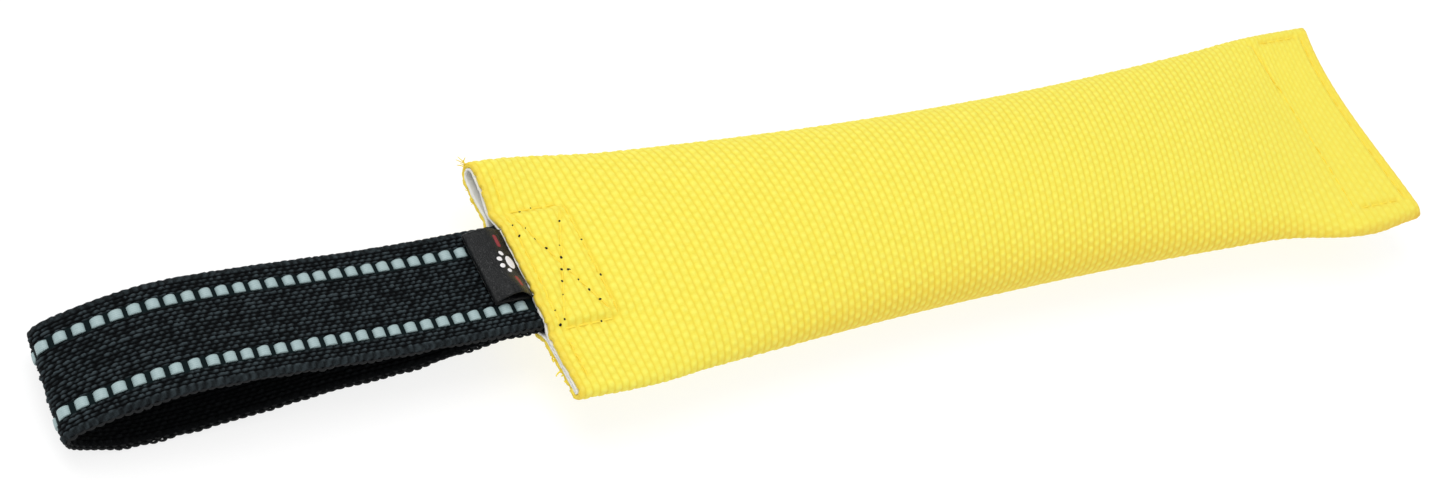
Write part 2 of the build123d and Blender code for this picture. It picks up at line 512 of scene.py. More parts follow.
seams = "box_stitch cross_stitch mouth_row far_edge_row far_inner_row far_side_rows".split()
stitchRods = {name: rodsOf(name) for seam in seams for name in (f"{seam}_thread", f"{seam}_bobbin")}
print("stitches", sum(len(rods) for rods in stitchRods.values()))


def pressField(points, side):
    # 0 to 1 near the rows of stitches on one side of the hose
    field = np.zeros(points.shape[:2])
    for name, rods in stitchRods.items():
        if name.endswith("thread") != (side > 0):
            continue
        for start, end in rods:
            run = end[:2] - start[:2]
            middle = (start[:2] + end[:2]) / 2
            rowsNear = np.nonzero(np.abs(points[:, 0, 0] - middle[0]) < np.abs(run[0]) / 2 + 3)[0]
            if not len(rowsNear):
                continue
            part = slice(rowsNear[0], rowsNear[-1] + 1)
            offset = points[part, :, :2] - start[:2]
            share = np.clip((offset @ run) / (run @ run), -0.12, 1.12)
            distance = np.linalg.norm(offset - share[..., None] * run, axis=-1)
            pull = np.exp(-((distance / hose["pressReach"]) ** 2))
            field[part] = np.maximum(field[part], pull)
    facing = gridNormals(points)[..., 2] * side > 0.05
    return field * facing


# hose yellows, painted lit and shaded: a lit yellow for yarn tops, two shaded yellows for the weave
# grooves, and a warm orange used as painted shade and as a warm tint
yellowLitAndShaded = {
    "lit": colour(250, 240, 96),
    "deep": colour(247, 231, 80),
    "grooveShade": colour(239, 212, 58),
    "warm": colour(240, 186, 44),
}


def hoseWeave():
    finish = Finish("HoseWeave")
    place = finish.stored("cloth", "Vector")
    height = finish.stored("height")
    warm = finish.stored("warm")
    mottled = finish.noise(place, 0.35, 2.0)
    yarn = finish.noise(finish.stretched(place, (2.2, 9.0, 1.0)), 1.6, 4.0, 0.7)
    fibre = finish.noise(finish.stretched(place, (1.5, 26.0, 1.0)), 1.5, 3.0, 0.75)
    # painted highlight and shade: the ramp gives high yarn the lit yellow and the weave grooves the
    # shaded yellows
    ramp = finish.add("ShaderNodeValToRGB", {"stops": [
        (0.0, yellowLitAndShaded["grooveShade"]), (0.42, yellowLitAndShaded["deep"]), (0.85, yellowLitAndShaded["lit"])]},
        {"Fac": height + (yarn - 0.5) * 0.34})
    # the warm orange mixed in here is partly painted shade (folds, far lip, near flank, weave
    # grooves) and partly a warm tint
    share = (warm * 0.75 + (mottled - 0.5) * 0.16 * warm).clipped()
    tintedAndShaded = finish.mixed(share, ramp, yellowLitAndShaded["warm"])
    paled = finish.mixed(((mottled - 0.42) * 0.35).clipped(), tintedAndShaded, colour(255, 242, 120))
    under = finish.bumped(fibre, 0.00008, 0.9)
    normal = finish.bumped(yarn, 0.0002, 0.55, under)
    return finish.surface(Base_Color=paled, Roughness=0.62 + (1 - height) * 0.2, Normal=normal,
                          Sheen_Weight=0.18, Sheen_Roughness=0.5, Specular_IOR_Level=0.3,
                          Sheen_Tint=colour(255, 240, 150))


def yarnFinish(name, low, high, roughness=0.7, sheen=0.1):
    # twisted thread or loose yarn; "shade" mixes the two colours
    finish = Finish(name)
    place = finish.objectPlace()
    shade = finish.stored("shade")
    strand = finish.noise(place, 2600.0, 3.0, 0.7)
    tone = finish.mixed((shade + (strand - 0.5) * 0.5).clipped(), low, high)
    normal = finish.bumped(strand, 0.00012, 0.8)
    return finish.surface(Base_Color=tone, Roughness=roughness + strand * 0.1, Normal=normal,
                          Sheen_Weight=sheen, Specular_IOR_Level=0.3)


def liningFinish():
    finish = Finish("HoseLining")
    place = finish.objectPlace()
    cloudy = finish.noise(place, 300.0, 4.0)
    fine = finish.noise(finish.stretched(place, (1.0, 3.0, 3.0)), 1500.0, 3.0)
    tone = finish.mixed(cloudy, colour(214, 213, 205), colour(238, 237, 232))
    normal = finish.bumped(fine, 0.00006, 0.7)
    return finish.surface(Base_Color=tone, Roughness=0.42 + cloudy * 0.15, Normal=normal)


def fillingFinish():
    finish = Finish("Filling")
    place = finish.objectPlace()
    tuft = finish.noise(place, 160.0, 6.0, 0.7)
    tone = finish.mixed(tuft, colour(205, 203, 196), colour(244, 243, 238))
    return finish.surface(Base_Color=tone, Roughness=0.9 + tuft * 0.05,
                          Normal=finish.bumped(tuft, 0.001, 0.9))


shift = stuffedShift()
aroundCount = hose["warps"] * hose["samplesAround"]
alongCount = round(hoseLength / hose["pickPitch"]) * hose["samplesAlong"]
lipRadius = hose["farHalf"] / 2 - 0.05
skinX = np.linspace(mouthX, farX, 251)
skin = np.stack([hoseSection(x, aroundCount) for x in skinX])
skin += spread(shift, (skinX - mouthX) / hoseLength * (hose["simRows"] - 1), aroundCount)
skin = restOnFloor(skin)
skinNormal = gridNormals(skin)
print("hose shaped", skin.shape)


def skinAt(values, x):
    # the skin's rows, or their normals, at places along the hose, one for each column
    row = np.clip((np.asarray(x) - mouthX) / (skinX[1] - skinX[0]), 0, len(skinX) - 1.001)
    low = np.floor(row).astype(int)
    part = (row - low)[..., None]
    column = np.arange(aroundCount)
    return (1 - part) * values[low, column] + part * values[low + 1, column]


def hosePoints(x, inset, count):
    # a ring inside the hose at station x; normals first, then a safe shrink where folds are tight
    x = max(x, mouthX)
    ring = skinAt(skin, np.full(aroundCount, x))
    offset = ring - inset * skinAt(skinNormal, np.full(aroundCount, x))
    middle = (ring.max(0) + ring.min(0)) / 2
    half = (ring.max(0) - ring.min(0)) / 2
    shrunk = middle + (ring - middle) * [1, *(1 - inset / half[1:])]
    deep = smooth01((x - mouthX - 8) / 8)
    points = (1 - deep) * offset + deep * shrunk
    points[:, 0] = x
    return points[:: aroundCount // count]


def buildJacket():
    wall = hose["jacketWall"]
    perPick, perWarp = hose["samplesAlong"], hose["samplesAround"]
    warp = np.arange(aroundCount) / perWarp
    # rows follow the weft, which leans across the stuffed part
    fromFold = np.minimum(warp, hose["warps"] - warp) * 2 / hose["warps"] - 0.5
    fromFold = fromFold - np.maximum(fromFold - 0.15, 0) ** 2 / 0.7
    straight = np.linspace(mouthX + 0.35, farX - lipRadius, alongCount + 1)
    lean = hose["skew"] * smooth01((straight + 85) / 130) * (1 - smooth01((straight - 86) / 38))
    rowX = straight[:, None] - lean[:, None] * fromFold[None] * hose["flatWidth"]
    body = skinAt(skin, rowX)
    normal = skinAt(skinNormal, rowX)
    # the raw mouth edge: inside face, cut face, outer corner
    rim = [(2.5, wall), (0.5, wall), (0.12, wall - 0.1),
           (-0.05, wall * 0.62), (-0.05, wall * 0.3), (0.08, 0.06)]
    head = np.stack([
        body[0] - inset * normal[0] + [forward - 0.35, 0, 0] for forward, inset in rim])
    # the tucked far end: each ply turns in towards the middle plane
    middle = (body[-1].max(0) + body[-1].min(0)) / 2
    half = (body[-1].max(0) - body[-1].min(0)) / 2
    lip = []
    for angle in np.linspace(0, pi, 9)[1:]:
        inset = lipRadius * (1 - cos(angle))
        ring = middle + (body[-1] - middle) * [0, 1 - 0.3 * inset / half[1], 1 - inset / half[2]]
        ring[:, 0] = body[-1, :, 0] + lipRadius * sin(angle)
        lip.append(ring)
    lip.append(lip[-1] - [2.5, 0, 0])
    points = np.concatenate([head, body, np.stack(lip)])
    first, last = len(head), len(head) + len(body)
    pick = (np.arange(len(points)) - first) / perPick
    # each weft column is a ridge of floats, staggered like bricks
    column = np.clip(np.round(pick).astype(int) + 4, 0, alongCount // perPick + 8)
    slide = rng.normal(0, 0.04, (column.max() + 1, hose["warps"])).cumsum(0) * 0.1
    yarn = np.floor(warp + 0.5).astype(int) % hose["warps"]
    slide = slide[column][:, yarn]
    ridge = np.abs(np.cos(pi * pick))[:, None] ** 0.5
    floatRidge = np.abs(np.cos(pi * (warp[None] + slide))) ** 0.8
    within = pick[:, None] - np.round(pick)[:, None]
    stagger = warp[None] + slide + np.round(pick)[:, None] + 0.4 * within
    brick = np.abs(np.cos(pi / 2 * stagger))
    fat = rng.normal(1.0, 0.07, (column.max() + 1, hose["warps"]))[column][:, yarn]
    level = np.clip((0.12 + 0.2 * ridge + ridge * brick * (0.43 + 0.25 * floatRidge)) * fat, 0, 1.1)
    # tighter and smoother towards the sewn end
    smoother = smooth01((rowX.mean(1) - 70) / 45)
    smoother = np.concatenate([np.zeros(len(head)), smoother, np.full(len(lip), smoother[-1])])
    level = level + (0.62 - level) * 0.5 * smoother[:, None]
    press = np.zeros(level.shape)
    press[first:last] = pressField(body, 1) + pressField(body, -1)
    outside = np.ones(len(points))
    outside[: first - 1] = 0
    outside[last + 6 :] = 0.4
    lift = hose["weaveHeight"] * (level * (1 - 0.3 * press) - 0.5) * outside[:, None]
    lift -= hose["pressDepth"] * press
    points = points + gridNormals(points) * lift[..., None]
    # uneven yarn ends at the cut edge
    ends = rng.normal(0, 1, hose["warps"]).repeat(perWarp)
    fade = np.zeros(len(points))
    fade[: first + 3] = [0.3] + [1] * (first - 1) + [0.8, 0.4, 0.15]
    points[..., 0] += fade[:, None] * ends[None] * hose["rimJitter"]
    points[..., 2] = np.maximum(points[..., 2], 0.02)
    # warmer at the cut edge, along the stitch rows and towards the sewn end; painted warm shade in
    # the folds, at the far lip, on the near flank and in its weave grooves
    fold = np.abs(np.sin(2 * pi * warp / hose["warps"]))
    atFold = np.exp(-((fold / 0.06) ** 2))[None]
    nearMouth = smooth01((mouthX + 60 - points[..., 0]) / 60)
    nearFar = smooth01((points[..., 0] - farX + 26) / 26)
    warm = 0.5 * np.exp(-(((points[..., 0] - mouthX) / 1.3) ** 2))
    warm = warm + 0.55 * np.exp(-(((farX - points[..., 0]) / 1.7) ** 2))
    # painted shade: surfaces facing -Y, the near flank, turn warmer and darker, most of all in the
    # weave grooves
    flank = smooth01(-gridNormals(points)[..., 1] * 1.4 - 0.3)
    flank = flank * smooth01((points[..., 0] + 110) / 60)
    warm = warm + 0.3 * atFold * np.maximum(0.5 * nearMouth, nearFar) + 0.15 * press
    warm = warm + flank * (0.24 + 0.5 * (1 - np.clip(level, 0, 1)))
    warm = warm + 0.1 * smoother[:, None]
    cloth = np.zeros(points.shape)
    cloth[..., 0] = pick[:, None] * hose["pickPitch"]
    cloth[..., 1] = warp[None] * 2 * hose["flatWidth"] / hose["warps"]
    points[..., 0] = bowed(points[..., 0], points[..., 1])
    # the height also sets the colour: low yarn and the dents along the stitch rows are painted
    # darker as shade
    height = np.clip(level * (1 - 0.25 * press), 0, 1)
    attributes = {"cloth": cloth, "height": height, "warm": np.clip(warm, 0, 1)}
    jacket = gridMesh("HoseJacket", points, attributes=attributes, material=hoseWeave())
    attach(jacket, "bumper")
    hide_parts("hose_jacket")
    return jacket


def buildLining():
    count = aroundCount // 2
    inside = np.linspace(4, hoseLength - hose["hem"], 70)
    places = np.concatenate([[-0.12, 0.3, 1.5], inside]) + mouthX
    outer = np.stack([hosePoints(x, hose["jacketWall"] + 0.03, count) for x in places])
    inner = np.stack([hosePoints(x, plyWall, count) for x in places])
    ragged = rng.normal(0, 0.05, count)
    for wall in (outer, inner):
        wall[0, :, 0] += ragged - 0.12
    lining = gridMesh("HoseLining", np.concatenate([inner[::-1], outer]), material=liningFinish())
    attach(lining, "bumper")
    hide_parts("hose_lining")


def buildFilling():
    low, high = boxOf("fibre_filling")
    places = np.linspace(low[0] + 1, high[0] - 1, 70)
    count = aroundCount // 4
    tufts = rng.normal(0, 1, (12, 14, 1))
    lumps = 0.35 + 0.25 * np.abs(spread(tufts, np.linspace(0, 11, len(places)), count))
    points = np.stack([hosePoints(x, plyWall + 0.3, count) for x in places])
    points -= gridNormals(points) * lumps
    filling = gridMesh("FibreFilling", points, capEnds=True, material=fillingFinish())
    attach(filling, "bumper")
    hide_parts("fibre_filling")


jacket = buildJacket()
buildLining()
buildFilling()
print("hose done")


webbing = {
    "width": 25.0,
    "thickness": 1.5,
    "warps": 27,               # rows of yarn across
    "samplesPerWarp": 4,
    "pick": 0.92,              # half the length of one float
    "samplesPerPick": 2,
    "weaveHeight": 0.72,
    "slant": 0.7,
    "cup": 0.5,                # the edges hang this much below the middle
    "skew": 0.09,              # the near edge of the loop reaches further out
    "drawnIn": 1.0,            # the loop stops short of its full reach
    "stripeAt": 7.5,
    "stripeHalf": 1.2,
    "picotPitch": 1.92,
    "picotReach": 0.95,
    "yarnRadius": 0.3,
}


def clampedSpline(points, first, last, count):
    # smooth curve through points in the XZ plane with given end directions
    points = np.asarray(points, float)
    run = runOf(points)
    gap = np.diff(run)
    size = len(points)
    matrix = np.zeros((size, size))
    right = np.zeros((size, 2))
    matrix[0, 0] = matrix[-1, -1] = 1
    right[0], right[-1] = first, last
    for k in range(1, size - 1):
        matrix[k, k - 1 : k + 2] = gap[k], 2 * (gap[k - 1] + gap[k]), gap[k - 1]
        right[k] = 3 * (
            gap[k] * (points[k] - points[k - 1]) / gap[k - 1]
            + gap[k - 1] * (points[k + 1] - points[k]) / gap[k])
    slopes = np.linalg.solve(matrix, right)
    at = np.linspace(0, run[-1], count)
    k = np.clip(np.searchsorted(run, at, side="right") - 1, 0, size - 2)
    t = ((at - run[k]) / gap[k])[:, None]
    g = gap[k][:, None]
    return (
        (1 + 2 * t) * (1 - t) ** 2 * points[k]
        + t * (1 - t) ** 2 * g * slopes[k]
        + t * t * (3 - 2 * t) * points[k + 1]
        + t * t * (t - 1) * g * slopes[k + 1])


def strapCentreLine(step):
    # the whole strap: upper tail, out round the loop, and back to the lower tail
    half = webbing["thickness"] / 2
    left = loopLow[0] + half + webbing["drawnIn"]
    low, top = loopLow[2] + half, loopHigh[2] - half
    reach = flexX - left
    upper, lower = mouthZ + half + 0.05, mouthZ - half - 0.05
    span = top - low
    knots = [
        (flexX, upper),
        (flexX - 0.22 * reach, upper + 0.1 * (top - upper)),
        (flexX - 0.68 * reach, top),
        (flexX - 0.9 * reach, mouthZ + 0.04 * span),
        (left, mouthZ - 0.4 * span),
        (flexX - 0.93 * reach, low + 0.1 * span),
        (flexX - 0.8 * reach, low),
        (flexX - 0.4 * reach, lower - 0.54 * (lower - low)),
        (flexX - 0.2 * reach, lower - 0.33 * (lower - low)),
        (flexX, lower),
    ]
    loop = clampedSpline(knots, (-1, 0), (1, 0), 1200)
    tail = np.linspace(tailHigh[0], flexX, 60, endpoint=False)
    line = np.vstack([
        np.stack([tail, np.full(60, upper)], -1), loop,
        np.stack([tail[::-1], np.full(60, lower)], -1)])
    run = runOf(line)
    count = int(run[-1] / step / 2) * 2 + 1
    at = np.linspace(0, run[-1], count)
    even = resampled(at, run, line)
    along = unit(np.gradient(even, axis=0))
    return at, even, np.stack([along[:, 1], -along[:, 0]], -1)


def strapPoint(line, outward, across, out):
    # a point of the strap: across is from its middle towards +Y, out from its centre line
    free = np.clip((flexX - 2 - line[..., 0]) / 30, 0, 1)
    free = free * smooth01((line[..., 1] - mouthZ + 6) / 6)
    share = np.clip((flexX - line[..., 0]) / (flexX - loopLow[0]), 0, 1)
    out = out - webbing["cup"] * free * (2 * across / webbing["width"]) ** 2
    x = line[..., 0] + out * outward[..., 0] + webbing["skew"] * across * share
    z = line[..., 1] + out * outward[..., 1]
    return np.stack([x, strapY + across + 0 * x, z], -1)


def webbingFinish():
    finish = Finish("Webbing")
    place = finish.stored("cloth", "Vector")
    height = finish.stored("height")
    stripe = finish.stored("stripe")
    inner = finish.stored("inner")
    patchy = finish.noise(place, 0.25, 2.0)
    fibre = finish.noise(finish.stretched(place, (5.0, 14.0, 1.0)), 1.4, 4.0, 0.75)
    # painted highlight and shade: yarn tops are painted light and the gaps between them dark, and
    # the inner face of the loop is painted darker as shade
    ramp = finish.add("ShaderNodeValToRGB", {"stops": [
        (0.0, colour(1, 2, 3)), (0.45, colour(11, 14, 16)), (1.0, colour(62, 72, 76))]},
        {"Fac": (height + (fibre - 0.5) * 1.5 + (patchy - 0.5) * 0.25) * (1 - inner * 0.6)})
    tone = finish.mixed(stripe * 0.85, ramp, colour(14, 28, 30))
    normal = finish.bumped(fibre, 0.00025, 0.8)
    return finish.surface(Base_Color=tone, Roughness=0.6 + (1 - height) * 0.25, Normal=normal,
                          Specular_IOR_Level=0.08)


def strapBend(piece):
    # bakes the piece's placement into its mesh; nothing is bent here
    (flexX + 3.6) * mm
    strapY * mm
    mouthZ * mm
    (flexX - 3.6) * mm
    strapY * mm
    mouthZ * mm
    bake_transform(piece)


def buildWebbing():
    step = webbing["pick"] / webbing["samplesPerPick"]
    at, line, outward = strapCentreLine(step)
    spans = webbing["warps"] * webbing["samplesPerWarp"]
    half = webbing["width"] / 2 - 0.5
    across = np.linspace(half, -half, spans + 1)
    thick = webbing["thickness"] / 2
    edge = np.linspace(0, pi, 6)[1:-1]
    corner = half + 0.75 * np.sin(edge)
    flat = np.ones(spans + 1)
    ringAcross = np.concatenate([across, -corner, across[::-1], corner])
    ringOut = np.concatenate([flat, np.cos(edge), -flat, -np.cos(edge)])
    warp = (ringAcross + half) / (2 * half) * webbing["warps"]
    yarn = np.clip(np.floor(warp).astype(int), 0, webbing["warps"])
    pick = at / webbing["pick"]
    inWarp = warp - np.floor(warp) - 0.5
    lean = webbing["slant"] * inWarp * np.sign(ringOut)
    wander = rng.normal(0, 0.26, (len(pick) // 6 + 2, webbing["warps"] + 1))
    wander = wander[np.arange(len(pick)) // 6][:, yarn]
    wave = np.cos(pi * (pick[:, None] + lean[None] + np.floor(warp)[None] + wander))
    wave = wave * np.sign(ringOut)[None]
    crown = np.cos(pi * inWarp) ** 0.6
    level = (0.3 + 0.7 * smooth01((wave + 1.2) / 1.7)) * crown[None]
    rowFat = rng.uniform(0.85, 1.15, len(pick))
    warpFat = rng.uniform(0.85, 1.15, webbing["warps"] + 1)[yarn]
    cell = ((pick[:, None] + np.floor(warp)[None]) / 2).astype(int)
    tones = rng.uniform(0.66, 1.2, (cell.max() + 1, webbing["warps"] + 1))
    level = level * tones[cell, yarn[None]]
    level = np.clip(level * warpFat[None] * (0.8 + 0.2 * rowFat[:, None]), 0, 1.2)
    fromStripe = np.abs(np.abs(ringAcross) - webbing["stripeAt"])
    stripe = smooth01((webbing["stripeHalf"] + 0.25 - fromStripe) / 0.3) * (ringOut > 0.5)
    level = level * (1 - stripe[None]) + 0.25 * stripe[None]
    # the selvedges are rounder, like cord
    rope = smooth01((np.abs(ringAcross) - half + 0.9) / 1.0)
    turns = at[:, None] / webbing["picotPitch"] + 0.35 * ringOut[None]
    cord = 0.58 + rng.normal(0, 0.06, (len(at), 1)) + 0.12 * np.cos(2 * pi * turns)
    level = level * (1 - rope[None]) + cord * rope[None]
    lift = webbing["weaveHeight"] * (level - 0.55)
    out = ringOut[None] * (thick + lift - 0.05)
    side = np.sign(ringAcross) * smooth01((np.abs(ringAcross) - half) / 0.3)
    wide = ringAcross[None] + side[None] * lift * 0.8
    points = strapPoint(line[:, None], outward[:, None], wide, out)
    points[..., 2] = np.maximum(points[..., 2], 0.05)
    cloth = np.zeros(points.shape)
    cloth[..., 0] = at[:, None]
    cloth[..., 1] = ringAcross[None] + 40 * (ringOut[None] < 0)
    # inner marks the inner face of the strap, which the finish paints darker as shade
    attributes = {"cloth": cloth, "height": level, "stripe": stripe[None] + 0 * level,
                  "inner": (ringOut < 0)[None] + 0 * level}
    strap = gridMesh("WebbingStrap", points[::-1], capEnds=True, material=blackWebbing,
                     attributes={key: value[::-1] for key, value in attributes.items()})
    strapBend(strap)
    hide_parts("handle_loop", "strap_tails")


def buildPicots():
    # the looped yarn that closes one edge of the webbing
    pitch = webbing["picotPitch"]
    at, line, outward = strapCentreLine(pitch / 12)
    keep = line[:, 0] < mouthX + 1.0
    at, line, outward = at[keep], line[keep], outward[keep]
    phase = 2 * pi * at / pitch
    marks = np.arange(0, at[-1] + 20, 4.0)
    size = 1 + 0.25 * np.interp(at, marks, rng.normal(0, 1, int(at[-1] / 4) + 6)[: len(marks)])
    bundle = Bundle()
    half = webbing["width"] / 2
    along = -np.stack([outward[:, 1], -outward[:, 0]], -1)
    reach = webbing["picotReach"] * np.clip(size, 0.7, 1.3)
    for lag, share in ((0.0, 1.0), (pi, 0.45)):
        across = -(half - 0.5 + reach * share * (0.5 - 0.5 * np.cos(phase + lag)))
        path = strapPoint(line, outward, across, 0.12 * np.cos(phase + lag) - 0.2 * (lag > 0))
        path[:, 0::2] -= along * (0.24 * pitch * share * np.sin(phase + lag))[:, None]
        bundle.tube(path, webbing["yarnRadius"], sides=6, value=0.4)
    piece = bundle.mesh("WebbingEdgeYarn", blackYarn)
    strapBend(piece)


blackWebbing = webbingFinish()
blackYarn = yarnFinish("BlackYarn", colour(3, 4, 5), colour(22, 26, 28), sheen=0.0)
buildWebbing()
buildPicots()
print("webbing done")


dashes = {
    "pitch": 3.84,
    "length": 2.68,
    "width": 2.1,
    "arch": 0.75,
    "flex": -3.0,
}


def reflectiveFinish():
    finish = Finish("ReflectiveYarn")
    place = finish.stored("cloth", "Vector")
    rib = (finish.add("ShaderNodeSeparateXYZ", {}, {"Vector": place}, out=1) * 14.0).wave()
    speck = finish.noise(place, 3.0, 3.0, 0.6)
    share = (0.5 + rib * 0.12 + (speck - 0.5) * 0.7).clipped()
    tone = finish.mixed(share, colour(128, 150, 152), colour(166, 187, 188))
    normal = finish.bumped(rib * 0.3 + speck, 0.00008, 0.8)
    return finish.surface(Base_Color=tone, Roughness=0.38 + speck * 0.15, Normal=normal,
                          Specular_IOR_Level=0.6)


def buildDashes(node, side):
    at, line, outward = strapCentreLine(0.1)
    free = at[-1] - 2 * (tailHigh[0] - flexX) - 2 * dashes["flex"]
    count = int(free / dashes["pitch"])
    first = (at[-1] - (count - 1) * dashes["pitch"]) / 2
    points, faces, cloth = [], [], []
    alongSteps, acrossSteps = 9, 6
    sheet = alongSteps * acrossSteps
    for index in range(count):
        centre = first + index * dashes["pitch"] + rng.normal(0, 0.06)
        length = dashes["length"] * rng.uniform(0.95, 1.05)
        t = np.linspace(-1, 1, alongSteps)
        s = centre + t * length / 2
        middle, away = (resampled(s, at, values)[:, None] for values in (line, outward))
        w = np.linspace(1, -1, acrossSteps)
        across = side * webbing["stripeAt"] \
            + w[None] * dashes["width"] / 2 * (1 - 0.12 * t[:, None] ** 4)
        top = webbing["thickness"] / 2 - 0.1 \
            + dashes["arch"] * (1 - t[:, None] ** 2) ** 0.85 * (1 - 0.12 * w[None] ** 2)
        face = strapPoint(middle, away, across, top)
        back = strapPoint(middle, away, across, top * 0 + 0.45)
        base = len(points) * sheet * 2
        grid = np.arange(sheet).reshape(alongSteps, acrossSteps)
        border = np.concatenate([grid[0, :-1], grid[:-1, -1], grid[-1, :0:-1], grid[:0:-1, 0]])
        corners = [grid[:-1, :-1], grid[1:, :-1], grid[1:, 1:], grid[:-1, 1:]]
        quads = np.stack(corners, -1).reshape(-1, 4)
        under = quads[:, ::-1] + sheet
        nextBorder = np.roll(border, -1)
        wall = np.stack([border, nextBorder, nextBorder + sheet, border + sheet], -1)
        faces += (np.vstack([quads, under, wall]) + base).tolist()
        points.append(np.concatenate([face.reshape(-1, 3), back.reshape(-1, 3)]))
        spot = np.zeros((alongSteps, acrossSteps, 3))
        spot[..., 0] = s[:, None]
        spot[..., 1] = across
        cloth.append(np.concatenate([spot.reshape(-1, 3)] * 2))
    points = np.concatenate(points)
    points[:, 2] = np.maximum(points[:, 2], 0.03)
    piece = meshObject(node.replace("reflective_stripe", "ReflectiveStripe").replace("_", "."),
                       points, faces, {"cloth": np.concatenate(cloth)}, reflective)
    strapBend(piece)
    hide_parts(node)


reflective = reflectiveFinish()
buildDashes("reflective_stripe_far", 1)
buildDashes("reflective_stripe_near", -1)
print("reflective dashes done")


label = {
    "width": 17.0,
    "ply": 0.34,
    "rise": 0.85,              # bow of the upper leaf between mouth and fold
    "nearArch": 1.5,           # the near edge stands up off the strap
    "foldRadius": 0.85,
    "tail": 4.0,
    "markX": -2.95,            # the printed mark, from the mouth
    "bars": (-5.5, 5.3),       # places across the label
    "toes": ((-2.3, -0.45), (-0.95, -1.6), (0.75, -1.6), (2.1, -0.45)),
}
strapTop = mouthZ + webbing["thickness"] + 0.05
foldX = boxOf("label_tab")[0][0]


def leatherFinish():
    finish = Finish("LabelLeather")
    place = finish.objectPlace()
    pebble = finish.add("ShaderNodeTexVoronoi", {"feature": "DISTANCE_TO_EDGE"},
                        {"Vector": place, "Scale": 2100.0})
    cloudy = finish.noise(place, 700.0, 4.0)
    tone = finish.mixed(cloudy, colour(2, 3, 4), colour(12, 15, 17))
    normal = finish.bumped(pebble.clipped(0, 0.25) * 3 + cloudy * 0.5, 0.00009, 0.75)
    return finish.surface(Base_Color=tone, Roughness=0.26 + cloudy * 0.14, Normal=normal,
                          Specular_IOR_Level=0.25, Sheen_Weight=0.15, Sheen_Roughness=0.25)


def leafHeight(x, across, upper):
    # height of a leaf's centre line above the strap, over its run from mouth to fold
    run = np.clip((mouthX - x) / (mouthX - foldX - label["foldRadius"]), 0, 1)
    bow = np.sin(pi * run) ** 0.9
    near = smooth01((-across - 1.0) / 7.0)
    lift = label["ply"] / 2 + 0.04
    if upper:
        drop = 2 * label["foldRadius"] - label["ply"]
        lift += label["ply"] + (drop - label["ply"]) * smooth01(run * 1.6) + label["rise"] * bow
    return strapTop + lift + label["nearArch"] * near * bow * (1.0 if upper else 0.25)


def leafBand(xs, angles, upper):
    # centre lines of one run of the folded tape; angles turn it round the fold
    across = np.linspace(label["width"] / 2, -label["width"] / 2, 25)
    centres = []
    for x, angle in zip(xs, angles):
        if angle is None:
            z = leafHeight(np.full_like(across, x), across, upper)
        else:
            foldAt = foldX + label["foldRadius"]
            top = leafHeight(np.full_like(across, foldAt), across, True)
            low = leafHeight(np.full_like(across, foldAt), across, False)
            radius = (top - low) / 2
            x = foldAt - (label["foldRadius"] - label["ply"] / 2) * sin(angle)
            z = (top + low) / 2 + radius * cos(angle)
        centres.append(np.stack([np.full_like(across, x), labelY + across, z], -1))
    return np.array(centres)


def bandMesh(name, centres, material):
    # gives a run of tape its thickness, with rounded long edges
    alongStep = np.gradient(centres, axis=0)
    acrossStep = np.gradient(centres, axis=1)
    normal = unit(np.cross(acrossStep, alongStep))
    half = label["ply"] / 2
    over = centres + normal * half
    under = centres - normal * half
    lowEdge = centres[:, -1:] - [0, half * 0.8, 0]
    highEdge = centres[:, :1] + [0, half * 0.8, 0]
    ring = np.concatenate([over, lowEdge, under[:, ::-1], highEdge], axis=1)
    return gridMesh(name, ring[::-1], capEnds=True, material=material)


def joinPieces(name, pieces):
    # several meshes as one
    points, faces = [], []
    for piece in pieces:
        base = len(points)
        points += [tuple(v.co / mm) for v in piece.data.vertices]
        faces += [[k + base for k in face.vertices] for face in piece.data.polygons]
    material = pieces[0].data.materials[0]
    for piece in pieces:
        data = piece.data
        bpy.data.objects.remove(piece)
        bpy.data.meshes.remove(data)
    return meshObject(name, points, faces, material=material)


def buildLabel():
    leather = leatherFinish()
    inMouth = np.linspace(mouthX + label["tail"], hingeX, 22)
    flat = [None] * len(inMouth)
    upper = bandMesh("upperRoot", leafBand(inMouth, flat, True), leather)
    lower = bandMesh("lowerRoot", leafBand(inMouth, flat, False), leather)
    root = joinPieces("LabelRoot", [upper, lower])
    strapBend(root)
    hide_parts("label_tail")
    out = np.linspace(hingeX, foldX + label["foldRadius"], 12)
    turns = list(np.linspace(0, pi, 13)[1:-1])
    over = leafBand(out, [None] * len(out), True)
    bend = leafBand([0] * len(turns), turns, True)
    back = leafBand(out[::-1], [None] * len(out), False)
    tab = bandMesh("LabelTab", np.concatenate([over, bend, back]), leather)
    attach(tab, "label")
    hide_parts("label_tab")


def markFinish(name, low, high):
    finish = Finish(name)
    place = finish.objectPlace()
    worn = finish.noise(place, 1500.0, 4.0, 0.6)
    tone = finish.mixed(worn, low, high)
    return finish.surface(Base_Color=tone, Roughness=0.4 + worn * 0.2,
                          Normal=finish.bumped(worn, 0.00005, 0.5))


def printedPatch(centre, halfLong, halfWide, turn=0.0, count=20, power=2.0):
    # an outline lying on the upper leaf: long way across the label
    outline = []
    for k in range(count):
        angle = 2 * pi * k / count
        c, s = cos(angle), sin(angle)
        r = (abs(c) ** power + abs(s) ** power) ** (-1 / power)
        a, b = halfLong * r * c, halfWide * r * s
        outline.append((centre[0] + a * cos(turn) - b * sin(turn),
                        centre[1] + a * sin(turn) + b * cos(turn)))
    return outline


